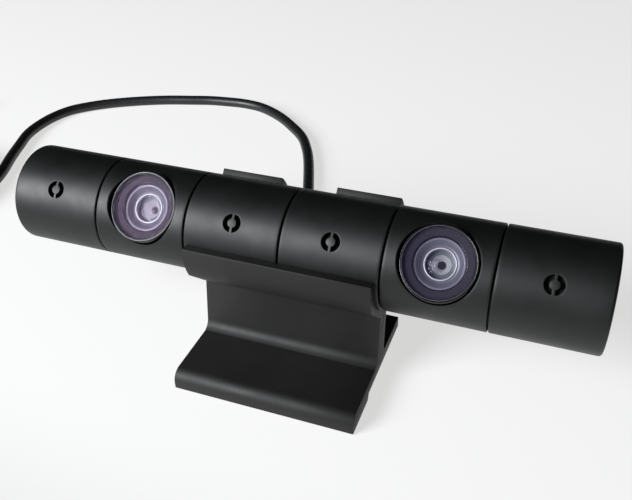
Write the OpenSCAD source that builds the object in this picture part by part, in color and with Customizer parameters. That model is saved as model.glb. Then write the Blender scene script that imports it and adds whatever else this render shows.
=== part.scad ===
// Stereo camera bar in a cradle stand, with its cord. Millimetres.
// X runs along the bar, the optics face -Y and look up by lens_elevation, +Z is up.
// The origin is on the surface it stands on, under the middle of the object.

/* [Bar] */
// Length of one of the six equal segments
segment_l = 30; // [28:0.5:32]
// Outer diameter of the bar
bar_d = 30.8; // [30.6:0.1:31]
// Wall of the outer shells
shell_wall = 1.8; // [1.6:0.1:1.9]
// Open gap between two shells, at the bottom of the groove
seam_gap = 0.5; // [0.2:0.1:0.8]
// Depth of the V groove at each seam
groove_depth = 0.6; // [0.3:0.1:0.8]
// Radius of the edge around each flat end
end_edge_r = 0.9; // [0.5:0.1:1.2]
// Angle of the optics above the horizontal
lens_elevation = 39.6; // [37:0.1:41]

/* [Optics] */
// Diameter of the round openings for the optics
opening_d = 22.4; // [22.2:0.1:22.8]
// Outer diameter of the collar in each opening
collar_d = 21.6; // [21.4:0.1:21.8]
// Diameter of the flat front window
window_d = 20.3; // [20.1:0.1:20.4]
// Height of the window's face over the bar's axis
window_face = 14; // [13.7:0.1:14.2]
// Largest diameter of the lens barrel
lens_barrel_d = 14.2; // [13.5:0.1:15]

/* [Microphones] */
// Outer diameter of the slotted ring
port_d = 5.4; // [5:0.1:5.8]
// Diameter of the flush disc in its middle
port_disc_d = 2.8; // [2.4:0.1:3.2]
// Width of the two bridges that hold the disc
port_bridge_w = 0.9; // [0.7:0.1:1.1]

/* [Stand] */
// Width of the stand
stand_w = 57.5; // [54:0.5:58]
// Height of the bar's axis over the surface
axis_h = 41; // [40.5:0.5:42]
// Distance of the bar's axis behind the origin
axis_y = 6.9; // [6.5:0.1:7.5]
// Mean wall of the cradle
cradle_wall = 2.7; // [2.4:0.1:3]
// Top of the front lip, as an angle above the horizontal
lip_angle = 6; // [5:0.5:9]
// Top of the two rear tabs, as an angle above the horizontal
tab_angle = 47; // [44:0.5:50]
// Gap between the tabs, for the cord
tab_gap = 17.6; // [16:0.2:19]
// Thickness of the neck
neck_t = 6.5; // [6:0.1:7]

/* [Cord] */
// Diameter of the cord
cord_d = 4.8; // [4.8:0.1:4.9]
// Mean diameter of the coil
coil_mean_d = 57; // [56:0.5:57.5]
// Length of the gland outside the bar
gland_l = 11.6; // [11:0.1:12]

/* [Hidden] */
$fn = 96;
e = 0.02;
bar_r = bar_d / 2;
bar_l = 6 * segment_l;
shell_in = bar_r - shell_wall;
groove_w = 0.3;
frame_out = shell_in - 0.15;
frame_in = frame_out - 1.5;
frame_half = bar_l / 2 - 3;
end_cap_t = 2;
lens_x = 1.5 * segment_l;
mic_x = [-2.5 * segment_l, -0.5 * segment_l, 0.5 * segment_l, 2.5 * segment_l];

// Radial heights of the optical parts over the bar's axis
gasket_seat = window_face - 1.4;
window_seat = window_face - 1.1;
barrel_front = 11.6;
board_top = -4.2;
board_t = 1;
bracket_y = 5.2;
bracket_t = 1;
main_y = 7.2;
main_l = 56;
main_w = 15;
chip_y = main_y + 1;
post_x = [-64, -27.5, 27.5, 64];
flange_y = 10.2;

// Stand, in the bar axis's own YZ plane
cradle_in = bar_r + 0.07;
cradle_out = cradle_in + cradle_wall;
slot_angle = -74;
slot_reach = cradle_out + 3;
// The cradle's outside is set forwards and down, so its wall is thickest under the lip
cradle_shift = [-0.4, -0.3];
// Flat face under the lip: its distance from the axis, and the way it faces
lip_flat = 17.65;
lip_flat_angle = 227.3;
base_under = 2.4 - axis_h;
base_top = base_under + 3.9;
nose_y = -32.5;
nose_r = 3.6;
nose_l = 14.5;
nose_foot = 0.2 - axis_h;
foot_edge = 0.25;
rear_y = 15.9;
neck_foot_y = -8.6;
neck_top_y = -6.8;
neck_top_z = -17.1;
fillet_r = 3.4;
pad_w = stand_w - 8;
front_pad_t = 0.9;
rear_pad_in = 0.6;

// Cord: the route of its uncoiled stretches, from the gland to the coil and on to the plug
cord_r = cord_d / 2;
lay = cord_r;
gland_dir = [0, cos(lens_elevation), -sin(lens_elevation)];
gland_tip = [0, axis_y, axis_h] + (bar_r + gland_l) * gland_dir;
lead_route = concat([gland_tip], [
    [0, 32.5, 19.8], [-1, 37.5, 15.8], [-3, 44, 10.8], [-7, 53, 6.4], [-13.5, 63, 3.6], [-20, 73, lay]]);
run_route = [
    [-20, 73, lay], [-25.5, 82, lay], [-29, 90.5, lay], [-32, 99, lay], [-37.5, 114, lay],
    [-41.5, 124, lay], [-45.5, 132.5, lay], [-52, 143.5, lay], [-61, 153, lay], [-71.5, 162, lay],
    [-84, 169, lay], [-95, 171, lay], [-104, 170.5, lay], [-114.5, 169, lay], [-125, 166, lay],
    [-135, 163, lay], [-145, 159, lay], [-155, 154, lay], [-164, 148.5, lay], [-172, 142, lay],
    [-178.5, 134.5, lay], [-182, 125, lay], [-183, 114.5, lay], [-182, 104, lay], [-178.5, 93.5, lay],
    [-174, 81, lay], [-168.5, 67.5, lay], [-165.5, 56, lay], [-164.6, 46, lay + 0.3], [-164.6, 38, lay + 0.6]];
tie_t = 0.6;
turn_pitch = cord_d + 0.1;
turns_across = 4;
turns_high = 2;
coil_at = [-200.5, 38];
coil_half = (turns_across - 1) * turn_pitch / 2 + cord_r;
coil_in = coil_mean_d / 2 - coil_half;
coil_out = coil_mean_d / 2 + coil_half;
coil_h = (turns_high - 1) * turn_pitch + cord_d;
plug_x = -234;
plug_z = 4;
tail_route = [
    [-236.4, 38, tie_t + coil_h - cord_r], [-237.2, 46, 7.6], [-237.6, 54, 6.2], [-236.4, 62, 4.8],
    [-234.8, 70, 4.1], [-234, 78, plug_z]];
relief_l = 12;
plug_l = 25;
plug_w = 13;
plug_h = 8;
plug_y = 78 + relief_l;
sides = 10;

// ---- Frames of reference ----

// The bar's axis, level
module on_axis() { translate([0, axis_y, axis_h]) children(); }

// The bar as it is tilted: its own -Y is where the optics look
module in_bar() { on_axis() rotate([-lens_elevation, 0, 0]) children(); }

// One place along the bar, with +Z pointing out through the front
module looking_out(x) { in_bar() translate([x, 0, 0]) rotate([90, 0, 0]) children(); }

// A revolved profile of [radius, x] points, turned to run along X
module turned_along_x(profile) { rotate([0, 90, 0]) rotate_extrude() polygon(profile); }

// Points of an arc in a plane, from angle a to angle b
function arc(cx, cy, r, a, b, n) =
    [for (i = [0:n]) [cx + r * cos(a + (b - a) * i / n), cy + r * sin(a + (b - a) * i / n)]];

// ---- Outer shells ----

module port_slot() {
    difference() {
        cylinder(h = bar_r + 1, d = port_d);
        translate([0, 0, -1]) cylinder(h = bar_r + 3, d = port_disc_d);
        translate([-port_bridge_w / 2, -port_d, -1]) cube([port_bridge_w, 2 * port_d, bar_r + 3]);
    }
}

module sleeve(x0, x1) {
    a = x0 + seam_gap / 2;
    b = x1 - seam_gap / 2;
    turned_along_x([
        [shell_in, a], [bar_r - groove_depth, a], [bar_r, a + groove_w],
        [bar_r, b - groove_w], [bar_r - groove_depth, b], [shell_in, b]]);
}

module end_cup() {
    a = 2 * segment_l + seam_gap / 2;
    b = bar_l / 2;
    turned_along_x(concat(
        [[0, b - end_cap_t], [shell_in, b - end_cap_t], [shell_in, a],
         [bar_r - groove_depth, a], [bar_r, a + groove_w]],
        arc(bar_r - end_edge_r, b - end_edge_r, end_edge_r, 0, 90, 6),
        [[0, b]]));
}

module end_shell(side) {
    color("#1c1d1f") difference() {
        in_bar() mirror([side < 0 ? 1 : 0, 0, 0]) end_cup();
        looking_out(side * mic_x[3]) port_slot();
    }
}

module lens_shell(side) {
    color("#1c1d1f") difference() {
        in_bar() sleeve(side > 0 ? segment_l : -2 * segment_l, side > 0 ? 2 * segment_l : -segment_l);
        looking_out(side * lens_x) cylinder(h = bar_r + 1, d = opening_d);
    }
}

module center_shell(side) {
    color("#1c1d1f") difference() {
        in_bar() sleeve(side > 0 ? 0 : -segment_l, side > 0 ? segment_l : 0);
        looking_out(side * mic_x[2]) port_slot();
        in_bar() rotate([-90, 0, 0]) cylinder(h = bar_r + 1, r = 3.6);
    }
}

// ---- Inner frame: two half tubes that meet level with the optics ----

module half_frame(up) {
    post_in = 0.9;
    difference() {
        union() {
            intersection() {
                turned_along_x([[frame_in, -frame_half], [frame_out, -frame_half],
                                [frame_out, frame_half], [frame_in, frame_half]]);
                translate([-bar_l / 2, -bar_r, up ? 0.05 : -bar_r - 0.05]) cube([bar_l, bar_d, bar_r]);
            }
            for (x = post_x)
                translate([x, 0, up ? 0.05 : -frame_in - 0.6]) cylinder(h = frame_in + 0.55, r = 2);
        }
        for (s = [-1, 1])
            translate([s * lens_x, 0, 0]) rotate([90, 0, 0]) cylinder(h = bar_r, r = opening_d / 2 - 0.2);
        for (x = mic_x) translate([x, 0, 0]) rotate([90, 0, 0]) cylinder(h = bar_r, r = 2.5);
        rotate([-90, 0, 0]) cylinder(h = bar_r, r = 3.6);
        for (x = post_x) translate([x, 0, up ? -1 : -bar_r]) cylinder(h = up ? 6 : bar_r + 1, r = post_in);
        if (!up) for (x = post_x) translate([x, 0, -bar_r]) cylinder(h = bar_r - 12.2, r = 1.6);
    }
}

module upper_frame() { color("#141415") in_bar() half_frame(true); }
module lower_frame() { color("#141415") in_bar() half_frame(false); }

module frame_screws() {
    color("silver") in_bar() for (x = post_x) translate([x, 0, -13.2]) {
        cylinder(h = 1, r = 1.45);
        cylinder(h = 16.5, r = 0.8);
    }
}

// ---- Optics ----

// The collar carries the window on a flat masking flange that leaves only the lens barrel showing
module lens_collar(side) {
    r = collar_d / 2;
    mask_r = lens_barrel_d / 2 + 0.3;
    color("#0f0f11") looking_out(side * lens_x) rotate_extrude() polygon([
        [mask_r, gasket_seat - 0.6], [9.4, gasket_seat - 1.4], [9.4, 7], [r, 7],
        [r, window_face - 0.25], [r - 0.4, window_face + 0.15], [window_d / 2 + 0.05, window_face + 0.15],
        [window_d / 2 + 0.05, gasket_seat], [mask_r, gasket_seat]]);
}

module window_gasket(side) {
    color("#232326") looking_out(side * lens_x) translate([0, 0, gasket_seat]) difference() {
        cylinder(h = window_seat - gasket_seat, r = window_d / 2 - 0.1);
        translate([0, 0, -1]) cylinder(h = 3, r = 9.3);
    }
}

module front_window(side) {
    color([0.5, 0.5, 0.58, 0.35]) looking_out(side * lens_x)
        translate([0, 0, window_seat]) cylinder(h = window_face - window_seat, d = window_d);
}

module lens_barrel(side) {
    r = lens_barrel_d / 2;
    color("#19191c") looking_out(side * lens_x) rotate_extrude() polygon([
        [4.45, 9], [4.45, 10.2], [5.2, 10.2], [6.4, barrel_front], [r, barrel_front], [r, 7.2],
        [5.5, 7.2], [5.5, 0.8], [3.6, 0.8], [3.6, 9]]);
}

module retaining_ring(side) {
    color("#b9bac2") looking_out(side * lens_x) translate([0, 0, 9]) difference() {
        cylinder(h = 0.7, r = 4.4);
        translate([0, 0, -1]) cylinder(h = 3, r = 3.5);
    }
}

// One lens element of radius 3.4: a front and a back sag over a flat rim
module element(z, rim, front, back) {
    r = 3.4;
    fr = (r * r + front * front) / (2 * front);
    br = (r * r + back * back) / (2 * back);
    fa = asin(r / fr);
    ba = asin(r / br);
    translate([0, 0, z]) rotate_extrude() polygon(concat(
        arc(0, front + rim - fr, fr, 90 - fa, 90, 8),
        arc(0, br - back, br, -90, -90 + ba, 8)));
}

module lens_elements(side) {
    color([0.4, 0.35, 0.5, 0.5]) looking_out(side * lens_x) {
        element(8.2, 0.5, 0.7, 0.3);
        element(6.3, 0.6, 0.4, 0.3);
        element(4.2, 0.7, 0.4, 0.4);
        element(2.1, 0.7, 0.3, 0.3);
    }
}

module lens_holder(side) {
    color("#202023") looking_out(side * lens_x) difference() {
        union() {
            translate([-7, -7, board_top]) cube([14, 14, 4]);
            cylinder(h = 5.6, r = 6.6);
        }
        translate([0, 0, -1.2]) cylinder(h = 8, r = 5.55);
        translate([0, 0, board_top - 1]) cylinder(h = 5, r = 4.8);
        translate([-4.6, -4.6, board_top - 1]) cube([9.2, 9.2, 3.2]);
    }
}

module ir_filter(side) {
    color([0.5, 0.75, 0.8, 0.5]) looking_out(side * lens_x)
        translate([0, 0, board_top + 1.9]) cylinder(h = 0.3, r = 4.7);
}

module image_sensor(side) {
    color("#3b4a5a") looking_out(side * lens_x) translate([-3.8, -3.4, board_top]) cube([7.6, 6.8, 1]);
}

module sensor_board(side) {
    color("#1f5c3a") looking_out(side * lens_x) difference() {
        translate([-12, -9.8, board_top - board_t]) cube([24, 19.6, board_t]);
        for (x = [-10, 10], y = [-8, 8]) translate([x, y, -10]) cylinder(h = 10, r = 0.8);
    }
}

module sensor_board_screws() {
    color("silver") for (s = [-1, 1]) looking_out(s * lens_x) for (x = [-10, 10], y = [-8, 8])
        translate([x, y, board_top]) {
            cylinder(h = 0.7, r = 1.2);
            translate([0, 0, -1.9]) cylinder(h = 2, r = 0.7);
        }
}

// ---- Electronics ----

module optics_bracket() {
    color("#a9acb0") in_bar() difference() {
        union() {
            translate([-62, bracket_y, -9]) cube([124, bracket_t, 18]);
            for (x = [-24, 24], z = [-5.8, 5.8]) translate([x, bracket_y + bracket_t - e, z])
                rotate([-90, 0, 0]) cylinder(h = 1 + e, r = 1.4);
        }
        for (x = [-24, 24], z = [-5.8, 5.8]) translate([x, 0, z])
            rotate([-90, 0, 0]) cylinder(h = 10, r = 0.65);
        for (s = [-1, 1]) translate([s * 30.6 - 1.6, 0, -5]) cube([3.2, 10, 10]);
        for (s = [-1, 1], x = [-10, 10], z = [-8, 8]) translate([s * lens_x + x, 0, z])
            rotate([-90, 0, 0]) cylinder(h = 10, r = 0.75);
    }
}

module main_board() {
    color("#1d5537") in_bar() difference() {
        translate([-main_l / 2, main_y, -main_w / 2]) cube([main_l, 1, main_w]);
        for (x = [-24, 24], z = [-5.8, 5.8]) translate([x, 0, z])
            rotate([-90, 0, 0]) cylinder(h = 10, r = 0.75);
    }
}

module board_screws() {
    color("silver") in_bar() for (x = [-24, 24], z = [-5.8, 5.8]) translate([x, 0, z])
        rotate([-90, 0, 0]) {
            translate([0, 0, chip_y]) cylinder(h = 0.7, r = 1.2);
            translate([0, 0, bracket_y + 0.1]) cylinder(h = 3, r = 0.6);
        }
}

module image_processor() {
    color("#18181a") in_bar() translate([-15, chip_y, -4]) cube([8, 0.8, 8]);
}

module thermal_pad() {
    color("#b7c4d6") in_bar() translate([-14.6, chip_y + 0.8, -3.6]) cube([7.2, 0.6, 7.2]);
}

module shield_can() {
    color("#c4c6c8") in_bar() difference() {
        translate([-16, chip_y, -5]) cube([10, 1.6, 10]);
        translate([-15.8, chip_y - 1, -4.8]) cube([9.6, 2.4, 9.6]);
    }
}

module memory_chips() {
    color("#18181a") in_bar() for (x = [7, 14]) translate([x, chip_y, -3.5]) cube([5, 0.8, 7]);
}

module board_connectors() {
    color("#e6dfc8") in_bar() for (x = [-27.5, 22.5]) translate([x, chip_y, -4.2]) cube([5, 1.2, 8.4]);
}

// Ribbon of thickness t along a polyline in the XY plane, w wide along Z
function turn(p, i) = let (a = p[max(i - 1, 0)], b = p[min(i + 1, len(p) - 1)], d = b - a) [-d[1], d[0]] / norm(d);
module ribbon(p, t, w) {
    translate([0, 0, -w / 2]) linear_extrude(w) polygon(concat(
        [for (i = [0:len(p) - 1]) p[i] + turn(p, i) * t / 2],
        [for (i = [len(p) - 1:-1:0]) p[i] - turn(p, i) * t / 2]));
}

module sensor_flex(side) {
    top = chip_y + 1.2;
    color("#c98a2b") in_bar() mirror([side < 0 ? 1 : 0, 0, 0]) ribbon(concat(
        [[37, 4.08], [33, 4.08]], arc(32, 5.08, 1, -90, -180, 4), [[31, 7]],
        arc(29.5, top - 0.7, 1.5, 0, 90, 4), [[23.5, top + 0.15]]), 0.2, 7);
}

// ---- Microphones ----

module at_each_mic() { for (x = mic_x) looking_out(x) children(); }

module mic_meshes() { color("#3a3a3c") at_each_mic() translate([0, 0, 13.05]) cylinder(h = 0.15, r = 2.4); }

module mic_boots() {
    color("#2a2a2c") at_each_mic() difference() {
        union() {
            translate([0, 0, 9.9]) cylinder(h = 3.1, r = 2.4);
            translate([0, 0, 9.9]) cylinder(h = 1, r = 3.9);
        }
        cylinder(h = bar_r, r = 0.8);
    }
}

module mic_boards() {
    color("#1f5c3a") at_each_mic() difference() {
        translate([0, 0, 9.1]) cylinder(h = 0.8, r = 4.4);
        cylinder(h = bar_r, r = 0.4);
    }
}

module microphones() { color("#c9b458") at_each_mic() translate([-1.9, -1.5, 8.1]) cube([3.8, 3, 1]); }

// ---- Cable gland: moulded onto the cord and held between the two frame halves ----

module cable_gland() {
    neck = 3.4;
    color("#1a1a1c") in_bar() rotate([-90, 0, 0]) rotate_extrude() polygon([
        [0, flange_y], [4.2, flange_y], [4.2, flange_y + 0.8], [neck, flange_y + 0.8],
        [neck, bar_r + 0.05], [4.3, bar_r + 0.05], [4.3, bar_r + 1.2], [3.9, bar_r + 1.8],
        [cord_r + 0.5, bar_r + gland_l - 0.4], [cord_r + 0.1, bar_r + gland_l], [0, bar_r + gland_l]]);
}

// ---- Stand: one moulding of constant section ----

module base_and_neck() {
    neck_rear = neck_foot_y + neck_t;
    profile = concat(
        arc(nose_y + nose_r, base_top - nose_r, nose_r, 90, 180, 6),
        [[nose_y, nose_foot + foot_edge], [nose_y + foot_edge, nose_foot], [nose_y + nose_l, nose_foot],
         [nose_y + nose_l + 1, base_under], [rear_y, base_under], [rear_y, base_top],
         [neck_rear + 1.8, base_top], [neck_rear + 0.4, base_top + 1.6],
         [neck_top_y + neck_t, neck_top_z], [neck_top_y + neck_t + 3, neck_top_z + 2],
         [neck_top_y - 2.3, neck_top_z + 3.9], [neck_top_y, neck_top_z]],
        arc(neck_foot_y - fillet_r, base_top + fillet_r, fillet_r, 0, -90, 6));
    rotate([90, 0, 90]) translate([0, 0, -stand_w / 2]) linear_extrude(stand_w) polygon(profile);
}

module cradle() {
    reach = 2 * bar_d;
    difference() {
        translate([0, cradle_shift[0], cradle_shift[1]]) rotate([0, 90, 0])
            cylinder(h = stand_w, r = cradle_out, center = true, $fn = 180);
        // Open above the lip in front and above the tabs behind
        rotate([90, 0, 90]) translate([0, 0, -stand_w]) linear_extrude(2 * stand_w) polygon([
            [0, 0], [reach * cos(tab_angle), reach * sin(tab_angle)], [reach, 2 * reach],
            [-reach, 2 * reach], [-reach * cos(lip_angle), reach * sin(lip_angle)]]);
        // Cut flat under the lip
        rotate([90, 0, 90]) rotate(lip_flat_angle) translate([lip_flat, -bar_r, -stand_w])
            cube([bar_r, bar_d, 2 * stand_w]);
    }
}

module stand_bracket() {
    color("#2b2c2b") on_axis() difference() {
        union() {
            cradle();
            base_and_neck();
        }
        rotate([0, 90, 0]) cylinder(h = 2 * stand_w, r = cradle_in, center = true, $fn = 180);
        // Slot between the tabs, down to where the gland can swing
        rotate([90, 0, 90]) translate([0, 0, -tab_gap / 2]) linear_extrude(tab_gap) polygon([
            [0, 0], slot_reach * [cos(slot_angle), sin(slot_angle)], slot_reach * [1, -0.7],
            slot_reach * [1, 1], [0, slot_reach]]);
        // Seats for the foot pads
        translate([-pad_w / 2 - 0.1, nose_y + 2.9, -axis_h - 1]) cube([pad_w + 0.2, 9.2, 1 + front_pad_t]);
        for (s = [-1, 1]) translate([s * 17 - 6.1, rear_y - 9.1, base_under - 1]) cube([12.2, 6.2, 1 + rear_pad_in]);
    }
}

module front_foot_pad() {
    color("#111111") on_axis() translate([-pad_w / 2, nose_y + 3, -axis_h]) cube([pad_w, 9, front_pad_t]);
}

module rear_foot_pads() {
    color("#111111") on_axis() for (s = [-1, 1])
        translate([s * 17 - 6, rear_y - 9, -axis_h]) cube([12, 6, base_under + axis_h + rear_pad_in]);
}

// ---- Cord: a ring of points square to the route at each of its points ----

function along(p, i) = let (a = p[max(i - 1, 0)], b = p[min(i + 1, len(p) - 1)]) (b - a) / norm(b - a);
function across(t) = let (s = cross(t, [0, 0, 1])) s / norm(s);
function ring_of(c, t) = let (u = across(t), v = cross(u, t))
    [for (k = [0:sides - 1]) c + cord_r * (cos(360 * k / sides) * u + sin(360 * k / sides) * v)];

// The first and last rings may be squared to a given direction, where they meet something
module swept(p, first = undef, last = undef) {
    n = len(p);
    t = [for (i = [0:n - 1]) i == 0 && first ? first : i == n - 1 && last ? last : along(p, i)];
    polyhedron(
        points = [for (i = [0:n - 1]) each ring_of(p[i], t[i])],
        faces = concat(
            [[for (k = [0:sides - 1]) k]],
            [for (i = [0:n - 2], k = [0:sides - 1])
                [i * sides + k, (i + 1) * sides + k, (i + 1) * sides + (k + 1) % sides, i * sides + (k + 1) % sides]],
            [[for (k = [sides - 1:-1:0]) (n - 1) * sides + k]]));
}

lead_end = run_route[1] - lead_route[len(lead_route) - 2];
meet = [lead_end[0], lead_end[1], 0] / norm([lead_end[0], lead_end[1], 0]);

module cord_lead() { color("#18181a") swept(lead_route, gland_dir, meet); }
module cord_run() { color("#18181a") swept(run_route, meet); }
module cord_tail() { color("#18181a") swept(tail_route, [0, 1, 0], [0, 1, 0]); }

module cord_coil() {
    color("#18181a") translate([coil_at[0], coil_at[1], tie_t]) rotate_extrude() polygon([
        [coil_in, 1.6], [coil_in + 1.6, 0], [coil_out - 1.6, 0], [coil_out, 1.6],
        [coil_out, coil_h - 1.6], [coil_out - 1.6, coil_h], [coil_in + 1.6, coil_h], [coil_in, coil_h - 1.6]]);
}

module cord_tie() {
    tie_w = 8;
    color("#0c0c0d") translate([coil_at[0], coil_at[1], 0]) rotate([0, 0, 250]) difference() {
        translate([coil_in - tie_t, -tie_w / 2, 0])
            cube([2 * coil_half + 2 * tie_t, tie_w, coil_h + 2 * tie_t]);
        translate([coil_in - 0.3, -tie_w, tie_t]) cube([2 * coil_half + 0.6, 2 * tie_w, coil_h]);
    }
}

// ---- Plug on the cord's end ----

module plug_relief() {
    color("#1a1a1c") translate([plug_x, plug_y, plug_z]) rotate([90, 0, 0])
        cylinder(h = relief_l, r1 = 3.6, r2 = cord_r + 0.2);
}

module plug_body() {
    c = 1.2;
    color("#1a1a1c") translate([plug_x, plug_y, 0]) rotate([-90, 0, 0]) linear_extrude(plug_l) polygon([
        [-plug_w / 2 + c, 0], [plug_w / 2 - c, 0], [plug_w / 2, -c], [plug_w / 2, c - plug_h],
        [plug_w / 2 - c, -plug_h], [c - plug_w / 2, -plug_h], [-plug_w / 2, c - plug_h], [-plug_w / 2, -c]]);
}

module plug_shell() {
    color("#bfc1c4") translate([plug_x - 4.5, plug_y + plug_l, plug_z - 2.2]) difference() {
        cube([9, 9, 4.4]);
        translate([0.5, 1.5, 0.5]) cube([8, 9, 3.4]);
    }
}

end_shell(-1);  // end_shell_left
end_shell(1);  // end_shell_right
lens_shell(-1);  // lens_shell_left
lens_shell(1);  // lens_shell_right
center_shell(-1);  // center_shell_left
center_shell(1);  // center_shell_right
upper_frame();
lower_frame();
lens_collar(-1);  // lens_collar_left
lens_collar(1);  // lens_collar_right
front_window(-1);  // front_window_left
front_window(1);  // front_window_right
window_gasket(-1);  // window_gasket_left
window_gasket(1);  // window_gasket_right
lens_barrel(-1);  // lens_barrel_left
lens_barrel(1);  // lens_barrel_right
retaining_ring(-1);  // retaining_ring_left
retaining_ring(1);  // retaining_ring_right
lens_elements(-1);  // lens_elements_left
lens_elements(1);  // lens_elements_right
lens_holder(-1);  // lens_holder_left
lens_holder(1);  // lens_holder_right
ir_filter(-1);  // ir_filter_left
ir_filter(1);  // ir_filter_right
image_sensor(-1);  // image_sensor_left
image_sensor(1);  // image_sensor_right
sensor_board(-1);  // sensor_board_left
sensor_board(1);  // sensor_board_right
sensor_flex(-1);  // sensor_flex_left
sensor_flex(1);  // sensor_flex_right
optics_bracket();
main_board();
image_processor();
memory_chips();
thermal_pad();
shield_can();
board_connectors();
mic_meshes();
mic_boots();
mic_boards();
microphones();
frame_screws();
board_screws();
sensor_board_screws();
cable_gland();
stand_bracket();
front_foot_pad();
rear_foot_pads();
cord_lead();
cord_run();
cord_coil();
cord_tail();
cord_tie();
plug_relief();
plug_body();
plug_shell();
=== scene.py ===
import math
import bmesh
import bpy
from mathutils import Matrix, Vector


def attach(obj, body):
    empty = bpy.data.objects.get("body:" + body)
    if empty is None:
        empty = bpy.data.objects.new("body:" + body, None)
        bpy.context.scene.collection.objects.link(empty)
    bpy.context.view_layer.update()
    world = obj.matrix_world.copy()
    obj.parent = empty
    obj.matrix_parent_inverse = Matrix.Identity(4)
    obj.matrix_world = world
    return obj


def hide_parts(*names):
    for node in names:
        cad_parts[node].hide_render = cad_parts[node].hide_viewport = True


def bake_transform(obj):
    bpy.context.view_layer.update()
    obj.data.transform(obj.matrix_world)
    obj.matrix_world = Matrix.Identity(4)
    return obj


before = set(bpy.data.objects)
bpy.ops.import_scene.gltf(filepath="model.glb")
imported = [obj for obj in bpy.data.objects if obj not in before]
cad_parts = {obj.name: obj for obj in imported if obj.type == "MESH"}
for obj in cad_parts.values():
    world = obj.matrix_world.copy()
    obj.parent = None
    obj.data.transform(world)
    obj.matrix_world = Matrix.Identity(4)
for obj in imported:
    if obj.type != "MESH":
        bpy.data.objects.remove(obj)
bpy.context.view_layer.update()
MM = 0.001


# ---- Camera ----
# A plain perspective camera in front of the object, a little to its right and above it.
camera_from_axle = Vector((74.17, -177.96, 128.78)) * MM
camera_turn = 20.92
camera_drop = 34.59
camera_roll = -1.17
axle = Vector((0, 6.9, 41)) * MM

camera = bpy.data.objects.new("camera", bpy.data.cameras.new("camera"))
bpy.context.scene.collection.objects.link(camera)
camera.data.sensor_width = 36
camera.data.lens = 44.05
camera.data.clip_start = 0.01
camera.location = axle + camera_from_axle
camera.rotation_euler = (
    Matrix.Rotation(math.radians(camera_turn), 3, "Z")
    @ Matrix.Rotation(math.radians(90 - camera_drop), 3, "X")
    @ Matrix.Rotation(math.radians(camera_roll), 3, "Z")).to_euler()
bpy.context.scene.camera = camera


# ---- Floor and light ----
# A sheet of white card under one large soft lamp, with a painted glow in the card near the object
# and a pale wall that throws back little light, so that black plastic shows one broad soft highlight in
# front, a glow from below off the glowing card and a dark top.
def linear(code):
    """A colour written as sRGB hex, turned to the linear values that a shader takes."""
    parts = [int(code[i:i + 2], 16) / 255 for i in (0, 2, 4)]
    return tuple(c / 12.92 if c <= 0.04045 else ((c + 0.055) / 1.055) ** 2.4 for c in parts) + (1,)


def add_node(tree, kind, inputs=None, **settings):
    """Adds a node: its settings by name, and its inputs, each a value or another node's output."""
    made = tree.nodes.new(kind)
    for name, value in settings.items():
        setattr(made, name, value)
    for key, value in (inputs or {}).items():
        if isinstance(value, bpy.types.NodeSocket):
            tree.links.new(value, made.inputs[key])
        else:
            made.inputs[key].default_value = value
    return made


def new_material(name, surface):
    """A material with one Principled surface: also its tree, shader and place on the piece."""
    made = bpy.data.materials.new(name)
    made.use_nodes = True
    made.node_tree.nodes.clear()
    shader = add_node(made.node_tree, "ShaderNodeBsdfPrincipled", surface)
    add_node(made.node_tree, "ShaderNodeOutputMaterial", {"Surface": shader.outputs[0]})
    place = add_node(made.node_tree, "ShaderNodeTexCoord").outputs["Object"]
    return made, made.node_tree, shader, place


def feed(tree, shader, colour=None, rough=None, normal=None):
    """Feeds a surface's colour, roughness and relief from the ends of its patterns."""
    for key, value in (("Base Color", colour), ("Roughness", rough), ("Normal", normal)):
        if value:
            tree.links.new(value, shader.inputs[key])


def finished(name, shape, material, sharp=35):
    """Turns a bmesh into a piece in the scene, smooth but for its sharp edges, and frees the bmesh."""
    bmesh.ops.recalc_face_normals(shape, faces=shape.faces)
    mesh = bpy.data.meshes.new(name)
    shape.to_mesh(mesh)
    shape.free()
    mesh.polygons.foreach_set("use_smooth", [True] * len(mesh.polygons))
    mesh.set_sharp_from_angle(angle=math.radians(sharp))
    mesh.materials.append(material)
    piece = bpy.data.objects.new(name, mesh)
    bpy.context.scene.collection.objects.link(piece)
    return piece


# White card is matt and faintly fibrous; near the object it carries a painted glow, an emission that
# fades out further away
floor_half = 0.9
floor_middle = (-0.05, 0.06, -0.05 * MM)
card_glow_middle = (0, 0.3, 0)
card_fade_from = 0.34
card_fade_to = 0.5
card_glow_near = 0.66
card_glow_far = 0.05
card_white, card_tree, card_shader, card_place = new_material("white card", {
    "Base Color": linear("9C9C9B"), "Roughness": 0.9, "Specular IOR Level": 0.1,
    "Emission Color": linear("FFFFFE")})
card_fibre = add_node(card_tree, "ShaderNodeTexNoise", {
    "Vector": card_place, "Scale": 1 / (0.6 * MM), "Detail": 2})
card_bump = add_node(card_tree, "ShaderNodeBump", {
    "Height": card_fibre.outputs[0], "Strength": 0.05, "Distance": 0.05 * MM})
feed(card_tree, card_shader, normal=card_bump.outputs[0])
card_far = add_node(card_tree, "ShaderNodeVectorMath", {
    0: card_place, 1: card_glow_middle}, operation="DISTANCE")
card_glow = add_node(card_tree, "ShaderNodeMapRange", {
    "Value": card_far.outputs["Value"], "From Min": card_fade_from, "From Max": card_fade_to,
    "To Min": card_glow_near, "To Max": card_glow_far}, interpolation_type="SMOOTHSTEP")
card_tree.links.new(card_glow.outputs[0], card_shader.inputs["Emission Strength"])
floor_shape = bmesh.new()
bmesh.ops.create_grid(floor_shape, x_segments=8, y_segments=8, size=floor_half)
bmesh.ops.translate(floor_shape, verts=floor_shape.verts, vec=floor_middle)
floor = finished("floor", floor_shape, card_white)

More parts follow.
